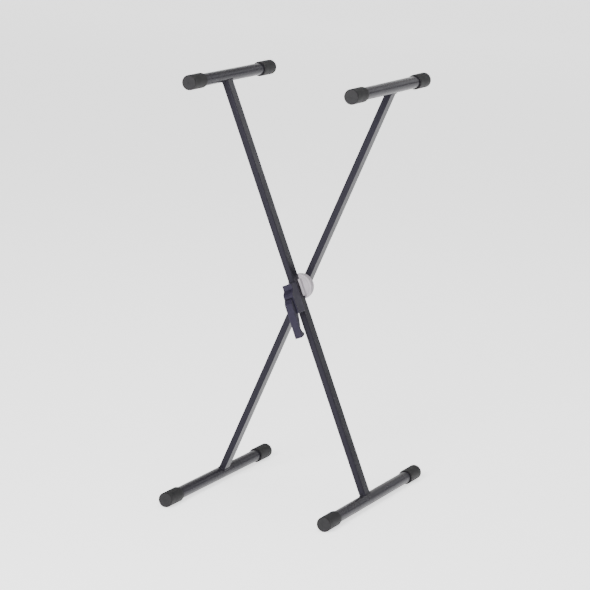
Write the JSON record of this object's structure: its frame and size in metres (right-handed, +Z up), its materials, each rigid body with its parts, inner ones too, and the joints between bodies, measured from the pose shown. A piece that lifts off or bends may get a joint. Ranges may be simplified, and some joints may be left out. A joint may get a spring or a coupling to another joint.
{
  "type": "keyboard stand",
  "caption": "Folding X-frame stand of crossed tube legs with round arms and foot bars, rubber end caps, a disc hub and a long release lever.",
  "frame": {"origin": "on the floor under the pivot bolt, midway between the legs", "axes": "+Z up, Y along the bars and the pivot bolt with the release lever on the -Y side, X the way the legs spread"},
  "size_m": [0.4248, 0.549, 0.9767],
  "materials": {
    "frame_paint": "satin black powder coat",
    "cap_rubber": "matt",
    "hub_plastic": "satin light grey",
    "lever_plastic": "satin black",
    "zinc_steel": "bright zinc plate",
    "nylon": "natural"
  },
  "bodies": {
    "front_frame": {"front_leg": "frame_paint", "front_arm": "frame_paint", "front_foot": "frame_paint", "front_arm_cap_near": "cap_rubber", "front_arm_cap_far": "cap_rubber", "front_foot_cap_near": "cap_rubber", "front_foot_cap_far": "cap_rubber", "hub_front": "hub_plastic", "hub_front_screw_upper": "zinc_steel", "hub_front_screw_lower": "zinc_steel", "front_sleeve": "zinc_steel", "thrust_washer": "nylon", "slip_washer": "nylon", "head_washer": "zinc_steel", "nut_washer": "zinc_steel", "pivot_bolt": "zinc_steel", "pivot_nut": "zinc_steel", "lever_housing": "lever_plastic", "housing_screw": "zinc_steel", "lever_pin": "zinc_steel", "lock_spring": "zinc_steel"},
    "rear_frame": {"rear_leg": "frame_paint", "rear_arm": "frame_paint", "rear_foot": "frame_paint", "rear_arm_cap_near": "cap_rubber", "rear_arm_cap_far": "cap_rubber", "rear_foot_cap_near": "cap_rubber", "rear_foot_cap_far": "cap_rubber", "hub_rear": "hub_plastic", "hub_rear_screw_upper": "zinc_steel", "hub_rear_screw_lower": "zinc_steel", "rear_sleeve": "zinc_steel"},
    "lever": {"release_lever": "lever_plastic"},
    "lock": {"lock_pin": "zinc_steel"}
  },
  "joints": [
    {"name": "fold", "type": "hinge", "parent": "front_frame", "child": "rear_frame", "pos_m": [0, 0, 0.48835], "axis": [0, 1, 0], "range_deg": [-40, 60]},
    {"name": "lever_squeeze", "type": "hinge", "parent": "front_frame", "child": "lever", "pos_m": [0.01531, -0.075, 0.4514], "axis": [0.9239, 0, 0.3827], "range_deg": [0, 15], "stiffness_Nm_per_rad": 0.88, "springref_deg": -8.19},
    {"name": "lock_pin_draw", "type": "slide", "parent": "front_frame", "child": "lock", "axis": [0, -1, 0], "range_m": [0, 0.0056], "deforming": ["lock_spring"]}
  ],
  "couplings": [
    {"joint": "lock_pin_draw", "follows": "lever_squeeze", "m_per_rad": 0.021}
  ]
}
